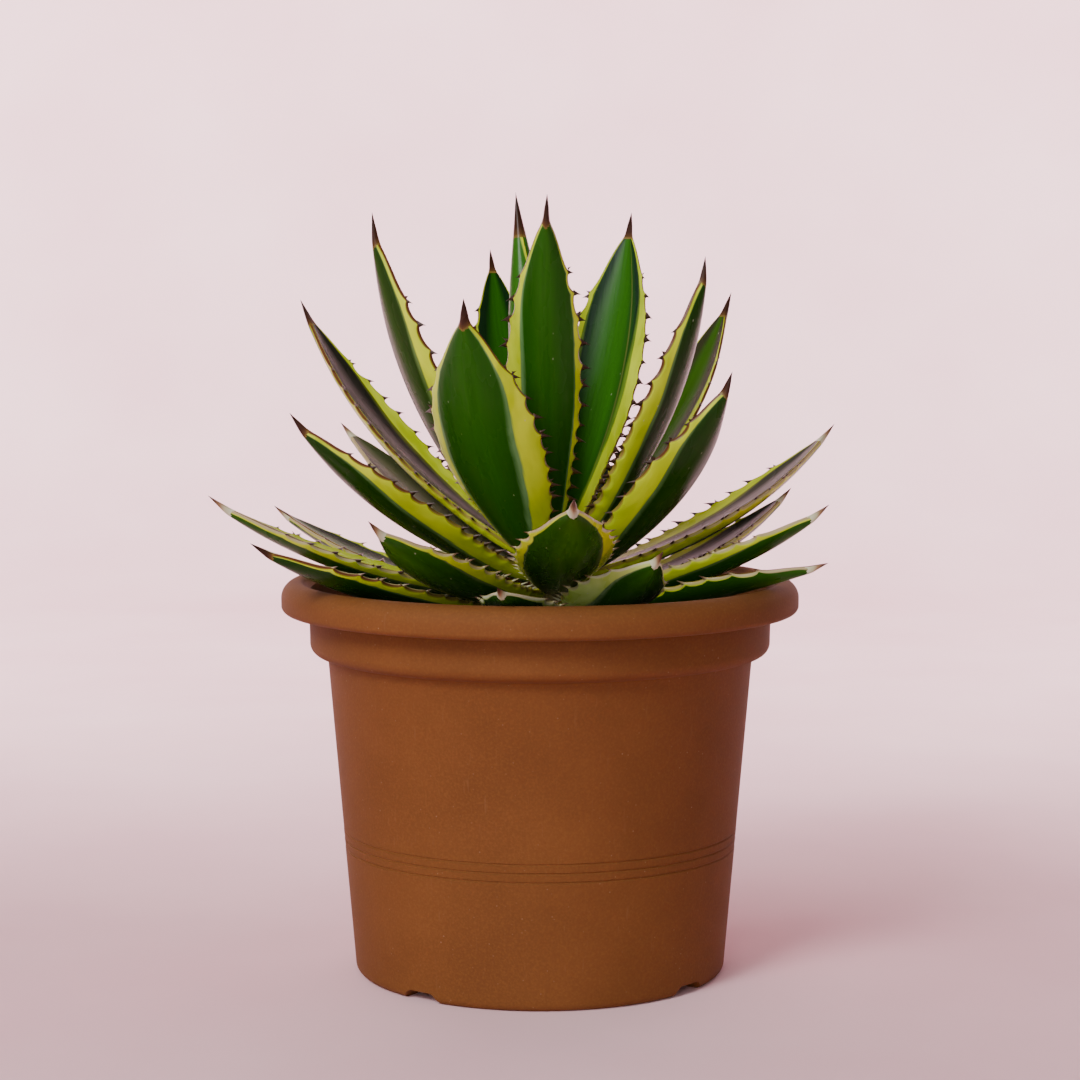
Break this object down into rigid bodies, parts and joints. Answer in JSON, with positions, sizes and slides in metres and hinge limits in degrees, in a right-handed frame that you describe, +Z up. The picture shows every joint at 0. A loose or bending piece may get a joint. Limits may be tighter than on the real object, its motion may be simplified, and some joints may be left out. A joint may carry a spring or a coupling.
{
  "type": "potted agave",
  "caption": "Rosette succulent with stiff, toothed, yellow-edged leaves ending in sharp spines, growing in a round rimmed nursery pot.",
  "frame": {"origin": "on the pot's axis, at the surface its standing ring rests on", "axes": "+Z up along the pot's axis; the plant's display side faces -Y and its right-hand side is +X"},
  "size_m": [0.2443, 0.2516, 0.3018],
  "materials": {
    "pot": "matte moulded plastic coloured like terracotta",
    "soil": "dark gritty potting mix",
    "stem": "pale fibrous stem",
    "young_leaf": "smooth young green leaf",
    "leaf": "waxy variegated leaf, dark green with yellow margins"
  },
  "bodies": {
    "root": {"pot": "pot", "soil": "soil", "stem": "stem", "spear": "young_leaf", "leaf_01": "leaf", "leaf_02": "leaf", "leaf_03": "leaf", "leaf_04": "leaf", "leaf_05": "leaf", "leaf_06": "leaf", "leaf_07": "leaf", "leaf_08": "leaf", "leaf_09": "leaf", "leaf_10": "leaf", "leaf_11": "leaf", "leaf_12": "leaf", "leaf_13": "leaf", "leaf_14": "leaf", "leaf_15": "leaf", "leaf_16": "leaf", "leaf_17": "leaf", "leaf_18": "leaf", "leaf_19": "leaf", "leaf_20": "leaf", "leaf_21": "leaf", "leaf_22": "leaf", "leaf_23": "leaf", "leaf_24": "leaf", "leaf_25": "leaf", "leaf_26": "leaf", "leaf_27": "leaf", "leaf_28": "leaf", "leaf_29": "leaf"}
  },
  "joints": []
}
